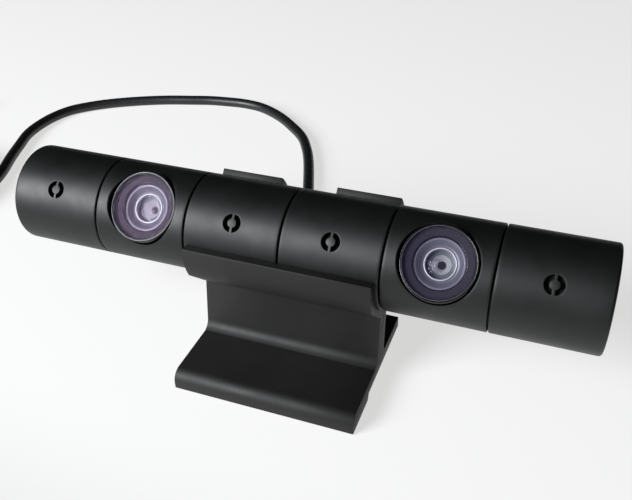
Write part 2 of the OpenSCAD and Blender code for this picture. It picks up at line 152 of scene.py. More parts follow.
bpy.context.scene.view_settings.view_transform = "Standard"
room = bpy.data.worlds.new("dim room")
bpy.context.scene.world = room
room.use_nodes = True
room_tree = room.node_tree
room_tree.nodes.clear()
room_dim = add_node(room_tree, "ShaderNodeBackground", {"Color": linear("8A9094"), "Strength": 0.05})
room_wall = add_node(room_tree, "ShaderNodeBackground", {"Color": linear("E4E5E6"), "Strength": 0.8})
room_seen = add_node(room_tree, "ShaderNodeLightPath")
room_mix = add_node(room_tree, "ShaderNodeMixShader", {
    0: room_seen.outputs["Is Camera Ray"], 1: room_dim.outputs[0], 2: room_wall.outputs[0]})
add_node(room_tree, "ShaderNodeOutputWorld", {"Surface": room_mix.outputs[0]})

# The lamp stands low in front and well to the left, like a window
key_left = 39
key_up = 27
key_distance = 1.1
key_way = (Matrix.Rotation(math.radians(-key_left), 3, "Z")
           @ Vector((0, -math.cos(math.radians(key_up)), math.sin(math.radians(key_up)))))
key_light = bpy.data.lights.new("soft lamp", "AREA")
key_light.shape = "RECTANGLE"
key_light.size = 0.6
key_light.size_y = 0.48
key_light.energy = 22
key_light.color = (0.95, 0.98, 1.0)
key = bpy.data.objects.new("soft lamp", key_light)
bpy.context.scene.collection.objects.link(key)
key.location = axle + key_way * key_distance
key.rotation_euler = (-key_way).to_track_quat("-Z", "Y").to_euler()


# ---- Cord ----
# A round two metre lead with a soft black PVC jacket over its wires and screen. It leaves the
# back of the bar, drops to the table and runs off to the left, where its spare length is coiled.
cord_d = 4.8
cord_lay = cord_d / 2
gland_reach = 27.0
lens_elevation = 39.6
gland_way = Vector((0, math.cos(math.radians(lens_elevation)), -math.sin(math.radians(lens_elevation))))
gland_tip = axle / MM + gland_reach * gland_way
lead_points = [
    tuple(gland_tip), (0, 32.5, 19.8), (-1, 37.5, 15.8), (-3, 44, 10.8), (-7, 53, 6.4), (-13.5, 63, 3.6)]
run_points = [
    (-20, 73), (-25.5, 82), (-29, 90.5), (-32, 99), (-37.5, 114), (-41.5, 124), (-45.5, 132.5),
    (-52, 143.5), (-61, 153), (-71.5, 162), (-84, 169), (-95, 171), (-104, 170.5), (-114.5, 169),
    (-125, 166), (-135, 163), (-145, 159), (-155, 154), (-164, 148.5), (-172, 142), (-178.5, 134.5),
    (-182, 125), (-183, 114.5), (-182, 104), (-178.5, 93.5), (-174, 81), (-168.5, 67.5), (-165.5, 56)]
into_coil = [(-164.6, 46, cord_lay + 0.3), (-164.6, 38, cord_lay + 0.6)]
out_of_coil = [
    (-236.4, 38, 7.9), (-237.2, 46, 7.6), (-237.6, 54, 6.2), (-236.4, 62, 4.8), (-234.8, 70, 4.1),
    (-234, 78, 4)]
coil_at = (-200.5, 38)
coil_mean_d = 57
turn_pitch = cord_d + 0.1
turns_across = 4
coil_low_z = cord_lay + 0.6
coil_end = 2700
coil_steps = 300


def smooth_way(points, step):
    """Points about a step apart on the smooth curve that passes through the given ones."""
    held = [Vector(p) for p in points]
    held = [2 * held[0] - held[1]] + held + [2 * held[-1] - held[-2]]
    made = []
    for a, b, c, d in zip(held, held[1:], held[2:], held[3:]):
        count = max(1, round((c - b).length / step))
        for i in range(count):
            t = i / count
            made.append(0.5 * (2 * b + (c - a) * t + (2 * a - 5 * b + 4 * c - d) * t ** 2
                               + (3 * b - 3 * c + d - a) * t ** 3))
    return made + [held[-2]]


def eased_step(value, middle, width):
    """0 before the middle of a change, 1 after it, and smooth over its width."""
    t = min(1, max(0, (value - middle) / width + 0.5))
    return t * t * (3 - 2 * t)


def coil_point(turned_by):
    """The cord's centre after so many degrees of the coil: inwards below, then outwards above."""
    shift = sum(eased_step(turned_by, at, 60) for at in (320, 680, 1040))
    shift -= sum(eased_step(turned_by, at, 60) for at in (1680, 2040, 2400))
    rise = eased_step(turned_by, 1360, 60)
    radius = coil_mean_d / 2 + ((turns_across - 1) / 2 - shift) * turn_pitch
    angle = math.radians(-turned_by)
    return Vector((coil_at[0] + radius * math.cos(angle), coil_at[1] + radius * math.sin(angle),
                   coil_low_z + rise * turn_pitch))


cord_way = smooth_way(lead_points + [(x, y, cord_lay) for x, y in run_points] + into_coil, 3)[:-1]
cord_way += [coil_point(coil_end * i / coil_steps) for i in range(coil_steps)]
cord_way += smooth_way(out_of_coil, 3)
cord_way = [Vector((p.x, p.y, max(p.z, cord_lay))) * MM for p in cord_way]

# Flexible PVC, drawn over the wires: satin black, faintly uneven along its length
cord_jacket, jacket_tree, jacket_shader, jacket_place = new_material(
    "flexible PVC jacket", {"IOR": 1.52})
jacket_flow = add_node(jacket_tree, "ShaderNodeTexNoise", {
    "Vector": jacket_place, "Scale": 1 / (3 * MM), "Detail": 3})
jacket_rough = add_node(jacket_tree, "ShaderNodeMapRange", {
    "Value": jacket_flow.outputs[0], "To Min": 0.34, "To Max": 0.52})
jacket_skin = add_node(jacket_tree, "ShaderNodeTexNoise", {
    "Vector": jacket_place, "Scale": 1 / (0.5 * MM), "Detail": 2})
jacket_bump = add_node(jacket_tree, "ShaderNodeBump", {
    "Height": jacket_skin.outputs[0], "Strength": 0.25, "Distance": 0.04 * MM})
jacket_dust = add_node(jacket_tree, "ShaderNodeMix", {
    0: jacket_flow.outputs[0], 6: linear("101012"), 7: linear("1B1B1D")}, data_type="RGBA")
feed(jacket_tree, jacket_shader, jacket_dust.outputs[2], jacket_rough.outputs[0],
     jacket_bump.outputs[0])

# The tube follows the cord's centre line
tube_tree = bpy.data.node_groups.new("tube along a way", "GeometryNodeTree")
for title, kind in (
        ("Way", "Geometry"), ("Diameter", "Float"), ("Sides", "Int"), ("Jacket", "Material")):
    tube_tree.interface.new_socket(title, in_out="INPUT", socket_type="NodeSocket" + kind)
tube_tree.interface.new_socket("Tube", in_out="OUTPUT", socket_type="NodeSocketGeometry")
tube_in = add_node(tube_tree, "NodeGroupInput")
tube_radius = add_node(tube_tree, "ShaderNodeMath", {
    0: tube_in.outputs["Diameter"], 1: 0.5}, operation="MULTIPLY")
tube_section = add_node(tube_tree, "GeometryNodeCurvePrimitiveCircle", {
    "Resolution": tube_in.outputs["Sides"], "Radius": tube_radius.outputs[0]})
tube_line = add_node(tube_tree, "GeometryNodeMeshToCurve", {"Mesh": tube_in.outputs["Way"]})
tube_wall = add_node(tube_tree, "GeometryNodeCurveToMesh", {
    "Curve": tube_line.outputs[0], "Profile Curve": tube_section.outputs[0], "Fill Caps": True})
tube_real = add_node(tube_tree, "GeometryNodeRealizeInstances", {"Geometry": tube_wall.outputs[0]})
tube_dressed = add_node(tube_tree, "GeometryNodeSetMaterial", {
    "Geometry": tube_real.outputs[0], "Material": tube_in.outputs["Jacket"]})
add_node(tube_tree, "NodeGroupOutput", {"Tube": tube_dressed.outputs[0]})


def grown(name, seed_mesh, tree, material, values):
    """Runs a node tree on a seed mesh with the given inputs, and keeps the result as a piece."""
    seed = bpy.data.objects.new(name + "_seed", seed_mesh)
    bpy.context.scene.collection.objects.link(seed)
    grow = seed.modifiers.new("grow", "NODES")
    grow.node_group = tree
    ids = {item.name: item.identifier for item in tree.interface.items_tree if item.in_out == "INPUT"}
    for key, value in values.items():
        grow[ids[key]] = value
    made = bpy.data.meshes.new_from_object(seed.evaluated_get(bpy.context.evaluated_depsgraph_get()))
    bpy.data.objects.remove(seed)
    shape = bmesh.new()
    shape.from_mesh(made)
    bmesh.ops.remove_doubles(shape, verts=shape.verts, dist=1e-7)
    return finished(name, shape, material)


cord_line = bpy.data.meshes.new("cord_line")
cord_line.from_pydata(cord_way, [(i, i + 1) for i in range(len(cord_way) - 1)], [])
cord = grown("cord", cord_line, tube_tree, cord_jacket,
             {"Diameter": cord_d * MM, "Sides": 20, "Jacket": cord_jacket})
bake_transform(cord)
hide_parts("cord_lead", "cord_run", "cord_coil", "cord_tail")


# ---- Outer shells ----
# Six thin tubes of black ABS, moulded with a fine satin grain and pushed over the frame from
# both ends. Each meets the next in a V groove; the end ones are cups with a flat closed face.
segment_l = 30
bar_r = 15.4
shell_in = 13.6
seam_half = 0.16
groove_depth = 0.6
groove_w = 0.24
groove_round = 0.1
lens_hole_edge = 0.22
mic_hole_edge = 0.13
end_edge_r = 0.9
end_cap_t = 2
opening_r = 11.2
port_r = 2.7
port_disc_r = 1.4
port_bridge_half = 0.4
gland_hole_r = 3.6
around = 96
in_bar = (Matrix.Translation(axle) @ Matrix.Rotation(math.radians(-lens_elevation), 4, "X")
          @ Matrix.Scale(MM, 4))


def satin_plastic(name, dark, light, rough, grain_mm, depth_mm, grease=0.06):
    """Moulded plastic: a fine even grain in relief, and handling marks in its gloss and tone."""
    made, tree, shader, place = new_material(name, {"IOR": 1.47})
    handling = add_node(tree, "ShaderNodeTexNoise", {
        "Vector": place, "Scale": 1 / (14 * MM), "Detail": 4, "Roughness": 0.6})
    grain = add_node(tree, "ShaderNodeTexNoise", {
        "Vector": place, "Scale": 1 / (grain_mm * MM), "Detail": 2})
    gloss = add_node(tree, "ShaderNodeMapRange", {
        "Value": handling.outputs[0], "From Min": 0.3, "From Max": 0.7,
        "To Min": rough - grease, "To Max": rough + grease})
    tone = add_node(tree, "ShaderNodeMix", {
        0: grain.outputs[0], 6: linear(dark), 7: linear(light)}, data_type="RGBA")
    relief = add_node(tree, "ShaderNodeBump", {
        "Height": grain.outputs[0], "Strength": 0.5, "Distance": depth_mm * MM})
    feed(tree, shader, tone.outputs[2], gloss.outputs[0], relief.outputs[0])
    return made


# ABS from a spark-eroded mould: matt to the touch, with one broad soft highlight
shell_plastic = satin_plastic("satin black ABS", "080A0A", "0C0E0E", 0.5, 0.5, 0.012)


def bar_point(x, r, angle):
    """A point of the bar: angle 0 is where the optics look and a quarter turn on is up."""
    return (x, -r * math.cos(angle), r * math.sin(angle))


def spread(a, b, count):
    """Evenly spaced values from a to b, both included."""
    return [a + (b - a) * i / count for i in range(count + 1)]


def shell_shape(outer, inner, port_x, cells):
    """A shell from its rings of (x, radius), outside then inside, left open in a square at port_x.

    cells is how many ring spaces the square takes each way. Returns the shape, and the square's
    edge in each skin with that skin's rings.
    """
    shape = bmesh.new()
    rings = []
    for x, r in outer + inner:
        count = around if r > 1e-6 else 1
        rings.append([shape.verts.new(bar_point(x, r, math.tau * k / around)) for k in range(count)])
    half = cells // 2
    rims = []
    skip = set()
    for skin, start in ((outer, 0), (inner, len(outer))):
        xs = [x for x, r in skin]
        right = max(range(len(xs)), key=lambda i: (abs(xs[i] - port_x) < 1e-6))
        low, high = start + right - half, start + right + half
        if xs[-1] < xs[0]:
            low, high = high, low
        # low is the window's ring at its smallest x, and high the one at its largest
        step = 1 if high > low else -1
        edge = [rings[high][k] for k in range(0, half)]
        edge += [rings[high - step * i][half] for i in range(0, cells)]
        edge += [rings[low][half - k] for k in range(0, cells)]
        edge += [rings[low + step * i][-half] for i in range(0, cells)]
        edge += [rings[high][k - half] for k in range(0, half)]
        skip |= {(min(low, high) + i, k % around) for i in range(cells) for k in range(-half, half)}
        rims.append((edge, skin))
    for i in range(len(rings)):
        a, b = rings[i], rings[(i + 1) % len(rings)]
        if len(a) == 1 and len(b) == 1:
            continue
        for k in range(around):
            if (i, k) in skip:
                continue
            n = (k + 1) % around
            corners = [a[k % len(a)], a[n % len(a)], b[n % len(b)], b[k % len(b)]]
            shape.faces.new(list(dict.fromkeys(corners)))
    return shape, rims


def window_rings(shape, edge, radius, port_x, way, spans):
    """Rings of faces from the window's edge in to the way, a ring of (x, z) around the port."""
    last = edge
    for share in reversed(spans):
        ring = []
        for vert, (x, z) in zip(edge, way):
            far = (vert.co.x, math.atan2(vert.co.z, -vert.co.y))
            near = (port_x + x, math.asin(z / radius))
            ring.append(shape.verts.new(bar_point(
                near[0] + (far[0] - near[0]) * share, radius, near[1] + (far[1] - near[1]) * share)))
        joined(shape, last, ring)
        last = ring
    return last


def joined(shape, a, b, which=None):
    """Faces between two rings of as many points, all round or only at the places named."""
    for k in (range(len(a)) if which is None else which):
        n = (k + 1) % len(a)
        shape.faces.new((a[k], a[n], b[n], b[k]))


def edges_between(shape, ring, which=None):
    """The edges along a ring, all round or only at the places named."""
    shape.edges.ensure_lookup_table()
    places = range(len(ring)) if which is None else which
    return [shape.edges.get((ring[k], ring[(k + 1) % len(ring)])) for k in places]


def tube_rings(a, b, port_x, port_half, cells, r):
    """Rings of (x, radius) along a plain tube, with evenly spaced ones across the port's window."""
    xs = spread(a, port_x - port_half, 2)[:-1] + spread(port_x - port_half, port_x + port_half, cells)
    xs += spread(port_x + port_half, b, 2)[1:]
    return [(x, r) for x in xs]


# Around a lens the hole is one circle; at a microphone it is two curved slots with a disc
# between them, which two straight bridges hold
lens_cells = 32
lens_window_half = 12.8
mic_cells = 16
mic_window_half = 7.5
slot_steps = 28
bridge_steps = 4


def mic_way(r):
    """Points around a microphone port at radius r, with the bridges' edges straight across."""
    reach = math.acos(port_bridge_half / r)
    half = spread(0, reach, slot_steps // 2)
    angles = half + spread(reach, math.pi - reach, bridge_steps)[1:]
    angles += spread(math.pi - reach, math.pi + reach, slot_steps)[1:]
    angles += spread(math.pi + reach, math.tau - reach, bridge_steps)[1:]
    angles += spread(-reach, 0, slot_steps // 2)[1:-1]
    return [(r * math.cos(a), r * math.sin(a)) for a in angles]


def add_lens_hole(shape, rims, port_x):
    """The round opening for an optic, with its walls parallel to the way the optic looks."""
    count = 4 * lens_cells
    way = [(opening_r * math.cos(math.tau * k / count), opening_r * math.sin(math.tau * k / count))
           for k in range(count)]
    ends = [window_rings(shape, edge, skin[len(skin) // 2][1], port_x, way, (0, 0.18, 0.45, 0.72))
            for edge, skin in rims]
    joined(shape, *ends)
    return edges_between(shape, ends[0])


def add_mic_hole(shape, rims, port_x):
    """A microphone's two slots through the wall, and the disc flush with the outside."""
    half = slot_steps // 2
    right = [k % (4 * mic_cells) for k in range(-half, half)]
    left = list(range(half + bridge_steps, half + bridge_steps + slot_steps))
    bridges = [k for k in range(4 * mic_cells) if k not in right and k not in left]
    outer, inner = [], []
    for edge, skin in rims:
        radius = skin[len(skin) // 2][1]
        rim = window_rings(shape, edge, radius, port_x, mic_way(port_r), (0, 0.06, 0.2, 0.42, 0.7))
        disc = [shape.verts.new(bar_point(port_x + x, radius, math.asin(z / radius)))
                for x, z in mic_way(port_disc_r)]
        joined(shape, rim, disc, bridges)
        heart = shape.verts.new(bar_point(port_x, radius, 0))
        for k in range(len(disc)):
            shape.faces.new((disc[k], disc[(k + 1) % len(disc)], heart))
        outer.append(rim)
        inner.append(disc)
    rim_edges = []
    for which in (right, left):
        joined(shape, outer[0], outer[1], which)
        joined(shape, inner[0], inner[1], which)
        first = which[0]
        last = (which[-1] + 1) % (4 * mic_cells)
        for k in (first, last):
            shape.faces.new((outer[0][k], inner[0][k], inner[1][k], outer[1][k]))
            rim_edges.append(shape.edges.get((outer[0][k], inner[0][k])))
        rim_edges += edges_between(shape, outer[0], which) + edges_between(shape, inner[0], which)
    return rim_edges


def shell_piece(name, a, b, port_x, is_cup, is_lens):
    """One shell between x = a and b, made to the right of the middle and mirrored if it lies left."""
    side = 1 if port_x > 0 else -1
    a, b = sorted((abs(a), abs(b)))
    a += seam_half
    x = abs(port_x)
    cells = lens_cells if is_lens else mic_cells
    reach = lens_window_half if is_lens else mic_window_half
    groove = [(a, bar_r - groove_depth), (a + 0.03, bar_r - groove_depth + groove_round),
              (a + groove_w - groove_round, bar_r - groove_round), (a + groove_w, bar_r - 0.03),
              (a + groove_w + 0.12, bar_r)]
    if is_cup:
        edge_turn = spread(0, math.pi / 2, 8)[1:]
        edge = [(b - end_edge_r * (1 - math.sin(t)), bar_r - end_edge_r * (1 - math.cos(t)))
                for t in edge_turn]
        outer = groove + tube_rings(a + 1, b - end_edge_r, x, reach, cells, bar_r) + edge
        outer += [(b, 10), (b, 5), (b, 0)]
        inner = [(b - end_cap_t, 0), (b - end_cap_t, 9)]
        inner += tube_rings(a, b - end_cap_t, x, reach, cells, shell_in)[::-1]
    else:
        b -= seam_half
        far_groove = [(a + b - x_, r) for x_, r in groove[::-1]]
        outer = groove + tube_rings(a + 1, b - 1, x, reach, cells, bar_r) + far_groove
        inner = tube_rings(a, b, x, reach, cells, shell_in)[::-1]
    shape, rims = shell_shape(outer, inner, x, cells)
    edges = (add_lens_hole if is_lens else add_mic_hole)(shape, rims, x)
    bmesh.ops.recalc_face_normals(shape, faces=shape.faces)
    bmesh.ops.bevel(shape, geom=edges, offset=lens_hole_edge if is_lens else mic_hole_edge,
                    segments=3, profile=0.5, affect="EDGES", clamp_overlap=True)
    bmesh.ops.transform(shape, matrix=in_bar @ Matrix.Scale(side, 4, (1, 0, 0)), verts=shape.verts)
    return finished(name, shape, shell_plastic, 40)


def round_bar(radius, low, high, place, sides=48):
    """A plain round bar from z = low to high at a place, to cut a hole with."""
    shape = bmesh.new()
    bmesh.ops.create_cone(shape, cap_ends=True, segments=sides, radius1=radius, radius2=radius,
                          depth=high - low)
    bmesh.ops.translate(shape, verts=shape.verts, vec=(0, 0, (low + high) / 2))
    bmesh.ops.transform(shape, matrix=place, verts=shape.verts)
    return shape


def cut_away(piece, cutter_shape):
    """Takes a shape out of a piece, and keeps the piece a plain mesh."""
    cutter = finished(piece.name + "_cutter", cutter_shape, piece.data.materials[0])
    cut = piece.modifiers.new("cut", "BOOLEAN")
    cut.object = cutter
    made = bpy.data.meshes.new_from_object(
        piece.evaluated_get(bpy.context.evaluated_depsgraph_get()))
    piece.modifiers.remove(cut)
    bpy.data.objects.remove(cutter)
    piece.data = made


looking_back = in_bar @ Matrix.Rotation(math.radians(-90), 4, "X")
for side_name, side in (("left", -1), ("right", 1)):
    for place_out, part in enumerate(("center_shell", "lens_shell", "end_shell")):
        node = f"{part}_{side_name}"
        starts = side * place_out * segment_l
        shell = shell_piece("satin_" + node, starts, starts + side * segment_l,
                            starts + side * segment_l / 2, part == "end_shell", part == "lens_shell")
        if part == "center_shell":
            cut_away(shell, round_bar(gland_hole_r, 5, bar_r + 2, looking_back))
        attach(shell, "bar")
        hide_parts(node)


# ---- Stand ----
# One heavy moulding in black ABS: a rolled front foot, a leaning neck and a cradle that the bar
# snaps into, with a lip in front and two tabs behind that leave a gap for the lead.
stand_half = 28.75
gap_half = 8.8
cradle_in = 15.47
cradle_out = 18.17
cradle_middle = (-0.4, -0.3)
lip_flat = 17.65
lip_flat_angle = 227.3
lip_angle = 6
tab_angle = 47
slot_angle = -74
base_under = -38.6
base_top = -34.7
nose_y = -32.5
nose_r = 3.6
nose_l = 14.5
nose_foot = -40.8
foot_edge = 0.25
rear_y = 15.9
neck_foot_y = -8.6
neck_top_y = -6.8
neck_top_z = -17.1
neck_t = 6.5
fillet_r = 3.4
stand_edge = 0.2
on_axle = Matrix.Translation(axle) @ Matrix.Scale(MM, 4)

# The shells' ABS from a coarser mould: a dry black with broad dull highlights
stand_plastic = satin_plastic("grained black ABS", "0C0B0B", "131212", 0.6, 0.7, 0.03)


def arc(y, z, r, a, b, step):
    """Points of an arc in the side view, from angle a to angle b in degrees."""
    count = max(1, round(abs(b - a) / step))
    return [(y + r * math.cos(math.radians(t)), z + r * math.sin(math.radians(t)))
            for t in spread(a, b, count)]


def cradle_face(angle):
    """The cradle's outer face in the side view, at an angle seen from the axle.

    It is round but cut flat under the lip, with its middle set forwards and down.
    """
    way = Vector((math.cos(math.radians(angle)), math.sin(math.radians(angle))))
    along = way.dot(Vector(cradle_middle))
    reach = along + math.sqrt(along ** 2 + cradle_out ** 2 - Vector(cradle_middle).length_squared)
    towards_flat = math.cos(math.radians(angle - lip_flat_angle))
    if towards_flat > 0.5:
        reach = min(reach, lip_flat / towards_flat)
    return tuple(way * reach)


def cradle_faces(a, b):
    """Points of the outer face from angle a to angle b."""
    return [cradle_face(t) for t in spread(a, b, max(1, round(abs(b - a) / 2)))]


def meets_cradle(p, q):
    """The angle at which the line from p to q, in the side view, enters the cradle."""
    p, d = Vector(p) - Vector(cradle_middle), Vector(q) - Vector(p)
    a, b, c = d.dot(d), 2 * p.dot(d), p.dot(p) - cradle_out ** 2
    met = p + d * (-b - math.sqrt(b * b - 4 * a * c)) / (2 * a) + Vector(cradle_middle)
    return math.degrees(math.atan2(met.y, met.x)) % 360


neck_rear = neck_foot_y + neck_t
front_meet = meets_cradle((neck_foot_y, base_top + fillet_r), (neck_top_y, neck_top_z))
rear_meet = meets_cradle((neck_rear + 0.4, base_top + 1.6), (neck_top_y + neck_t, neck_top_z))
bore = arc(0, 0, cradle_in, 360 + slot_angle, 180 - lip_angle, 3)
body_outline = cradle_faces(180 - lip_angle, front_meet)
body_outline += arc(neck_foot_y - fillet_r, base_top + fillet_r, fillet_r, 0, -60, 9)
body_outline.append((neck_foot_y - fillet_r * (1 - math.tan(math.radians(15))), base_top))
body_outline += arc(nose_y + nose_r, base_top - nose_r, nose_r, 90, 180, 6)
body_outline += [(nose_y, nose_foot + foot_edge), (nose_y + foot_edge, nose_foot),
                 (nose_y + nose_l, nose_foot), (nose_y + nose_l + 1, base_under),
                 (rear_y, base_under), (rear_y, base_top),
                 (neck_rear + 1.8, base_top), (neck_rear + 0.4, base_top + 1.6)]
body_outline += cradle_faces(rear_meet, 360 + slot_angle) + bore
tab_outline = cradle_faces(slot_angle, tab_angle) + arc(0, 0, cradle_in, tab_angle, slot_angle, 3)


def extruded(outline, x_list, shape, skip=()):
    """Walls along an outline between places along the bar, with a flat face at both ends."""
    rings = [[shape.verts.new((x, y, z)) for y, z in outline] for x in x_list]
    for i, (a, b) in enumerate(zip(rings, rings[1:])):
        for k in range(len(outline)):
            if (i, k) not in skip:
                n = (k + 1) % len(outline)
                shape.faces.new((a[k], a[n], b[n], b[k]))
    shape.faces.new(rings[0])
    shape.faces.new(rings[-1])
    return rings


stand_shape = bmesh.new()
x_places = [-stand_half, -gap_half, gap_half, stand_half]
cut_edge = len(body_outline) - len(bore) - 1
extruded(body_outline, x_places, stand_shape, {(0, cut_edge), (2, cut_edge)})
tab_cut = len(tab_outline) - 1
for pair in (x_places[:2], x_places[2:]):
    extruded(tab_outline, pair, stand_shape, {(0, tab_cut)})
bmesh.ops.remove_doubles(stand_shape, verts=stand_shape.verts, dist=1e-4)
bmesh.ops.recalc_face_normals(stand_shape, faces=stand_shape.faces)
sharp_edges = [e for e in stand_shape.edges if e.is_manifold and e.calc_face_angle() > math.radians(25)]
bmesh.ops.bevel(stand_shape, geom=sharp_edges, offset=stand_edge, segments=2, profile=0.5,
                affect="EDGES", clamp_overlap=True)
bmesh.ops.transform(stand_shape, matrix=on_axle, verts=stand_shape.verts)
stand = finished("moulded_stand", stand_shape, stand_plastic, 40)


def block(low, high):
    """A plain block between two corners seen from the axle, to cut a seat with."""
    shape = bmesh.new()
    bmesh.ops.create_cube(shape, size=1)
    for vert in shape.verts:
        vert.co = on_axle @ Vector([a if c < 0 else b for c, a, b in zip(vert.co, low, high)])
    return shape


floor_z = -41
pad_play = 0.1
front_seat_half = stand_half - 4 + pad_play
front_seat_y = (nose_y + 3 - pad_play, nose_y + 12 + pad_play)
front_seat_top = floor_z + 0.9
rear_seat_x = 17
rear_seat_half = 6 + pad_play
rear_seat_y = (rear_y - 9 - pad_play, rear_y - 3 + pad_play)
rear_seat_top = base_under + 0.6
cut_away(stand, block((-front_seat_half, front_seat_y[0], floor_z - 1),
                      (front_seat_half, front_seat_y[1], front_seat_top)))
for side in (-1, 1):
    cut_away(stand, block((side * rear_seat_x - rear_seat_half, rear_seat_y[0], floor_z - 1),
                          (side * rear_seat_x + rear_seat_half, rear_seat_y[1], rear_seat_top)))
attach(stand, "stand")
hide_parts("stand_bracket")


# ---- Collars ----
# A turned black acrylic-lacquered ring round each optic, pressed in from the back of the opening.
# It carries the flat window, and its inner flange is screen printed dark, with a violet grey tint that
# is a painted reflection of the window's coat.
lens_x = 1.5 * segment_l
window_face = 14.0
window_r = 10.15
window_back = window_face - 1.1
gasket_seat = window_face - 1.4
collar_r = 10.8
collar_back = 7
flange_back_r = 9.4
mask_r = 7.4

# Lacquer gives a deep black gloss, and the print inside it a dry black whose faint violet is a painted
# reflection
deep_gloss = satin_plastic("lacquered black ring", "070708", "0A0A0B", 0.22, 0.4, 0.003)
mask_print_painted_reflection = satin_plastic("violet-grey screen print with painted reflection", "0B0A10", "0F0E15", 0.75, 0.25, 0.002, 0.04)


def looking_out(x):
    """A place on the bar with +Z out through the front and the origin on the bar's axis."""
    return in_bar @ Matrix.Translation((x, 0, 0)) @ Matrix.Rotation(math.radians(90), 4, "X")


def turned(name, profile, place, materials, faces=(), edge=0.08, body="bar", steps=96):
    """A piece turned about z from a closed profile of (radius, height), with its corners broken.

    faces gives the number of the material for each side of the profile, 0 where it says nothing.
    """
    shape = bmesh.new()
    turns = [math.tau * k / steps for k in range(steps)]
    rings = [[shape.verts.new((r * math.cos(t), r * math.sin(t), z))
              for t in (turns if r > 0 else turns[:1])] for r, z in profile]
    for i, (a, b) in enumerate(zip(rings, rings[1:] + rings[:1])):
        if len(a) == 1 and len(b) == 1:
            continue
        for k in range(steps):
            n = (k + 1) % steps
            corners = [a[k % len(a)], a[n % len(a)], b[n % len(b)], b[k % len(b)]]
            made = shape.faces.new(list(dict.fromkeys(corners)))
            made.material_index = faces[i] if i < len(faces) else 0
    bmesh.ops.recalc_face_normals(shape, faces=shape.faces)
    corners = [e for e in shape.edges if e.is_manifold and e.calc_face_angle() > math.radians(25)]
    if edge:
        bmesh.ops.bevel(shape, geom=corners, offset=edge, segments=2, profile=0.5, affect="EDGES",
                        clamp_overlap=True)
    bmesh.ops.transform(shape, matrix=place, verts=shape.verts)
    piece = finished(name, shape, materials[0], 30)
    for more in materials[1:]:
        piece.data.materials.append(more)
    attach(piece, body)
    return piece


def stands_for(piece, slot, *nodes):
    """Hides the CAD nodes that a piece replaces; the finish that it takes is given but not used."""
    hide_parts(*nodes)


optic_places = (("left", looking_out(-lens_x)), ("right", looking_out(lens_x)))
for side_name, place in optic_places:
    collar = turned("ring_lens_collar_" + side_name, [
        (mask_r, gasket_seat - 0.6), (flange_back_r, gasket_seat - 1.4),
        (flange_back_r, collar_back), (collar_r, collar_back),
        (collar_r, window_face - 0.2), (collar_r - 0.3, window_face + 0.13),
        (window_r + 0.05, window_face + 0.13), (window_r + 0.05, gasket_seat), (mask_r, gasket_seat)],
        place, (deep_gloss, mask_print_painted_reflection), (0, 0, 0, 0, 0, 0, 0, 1, 0))
    stands_for(collar, "collar_plastic", "lens_collar_" + side_name)


# ---- Windows and gaskets ----
# A flat cast acrylic disc with an anti-reflection coat on its faces and a polished edge, bedded
# on a ring of closed-cell foam that keeps out dust.
gasket_in = 9.3
gasket_out = 10.05


def clouded(name, surface, cloud_mm, dark, light):
    """Clear or polished stuff whose colour drifts a little, in clouds of a given size."""
    made, tree, shader, place = new_material(name, surface)
    cloud = add_node(tree, "ShaderNodeTexNoise", {
        "Vector": place, "Scale": 1 / (cloud_mm * MM), "Detail": 2})
    tone = add_node(tree, "ShaderNodeMix", {
        0: cloud.outputs[0], 6: linear(dark), 7: linear(light)}, data_type="RGBA")
    feed(tree, shader, tone.outputs[2])
    return made


# The coated disc is almost clear, with a weak pinkish mirror image, a faint violet veil of painted
# reflection in its colour, and faint wipe marks
window_clear, clear_tree, clear_shader, clear_place = new_material("coated cast acrylic", {
    "Base Color": linear("4E4669"), "IOR": 1.49, "Alpha": 0.08,
    "Specular IOR Level": 0.3, "Specular Tint": linear("F0C8F2")})
clear_smear = add_node(clear_tree, "ShaderNodeTexNoise", {
    "Vector": clear_place, "Scale": 1 / (5 * MM), "Detail": 3, "Distortion": 0.6})
clear_gloss = add_node(clear_tree, "ShaderNodeMapRange", {
    "Value": clear_smear.outputs[0], "From Min": 0.35, "From Max": 0.75, "To Min": 0.04, "To Max": 0.1})
feed(clear_tree, clear_shader, rough=clear_gloss.outputs[0])

# Painted light: the bright colour of the cut and polished edge stands for the light that runs inside the
# disc and comes out there
window_rim_painted_glow = clouded("polished acrylic edge with painted glow", {"Roughness": 0.12, "IOR": 1.49},
                     1.2, "4A4854", "8A8792")

# Foam is dead matt, with fine open pores
foam = satin_plastic("closed-cell foam", "121214", "26262A", 0.9, 0.35, 0.12)
for side_name, place in optic_places:
    window = turned("disc_front_window_" + side_name, [
        (0, window_back), (window_r, window_back), (window_r, window_face - 0.12),
        (window_r - 0.13, window_face), (0, window_face)],
        place, (window_clear, window_rim_painted_glow), (0, 1, 1, 0), edge=0)
    stands_for(window, "window_acrylic", "front_window_" + side_name)
    gasket = turned("foam_window_gasket_" + side_name, [
        (gasket_in, gasket_seat), (gasket_out, gasket_seat), (gasket_out, window_back),
        (gasket_in, window_back)],
        place, (foam,), edge=0.06)
    stands_for(gasket, "foam_gasket", "window_gasket_" + side_name)


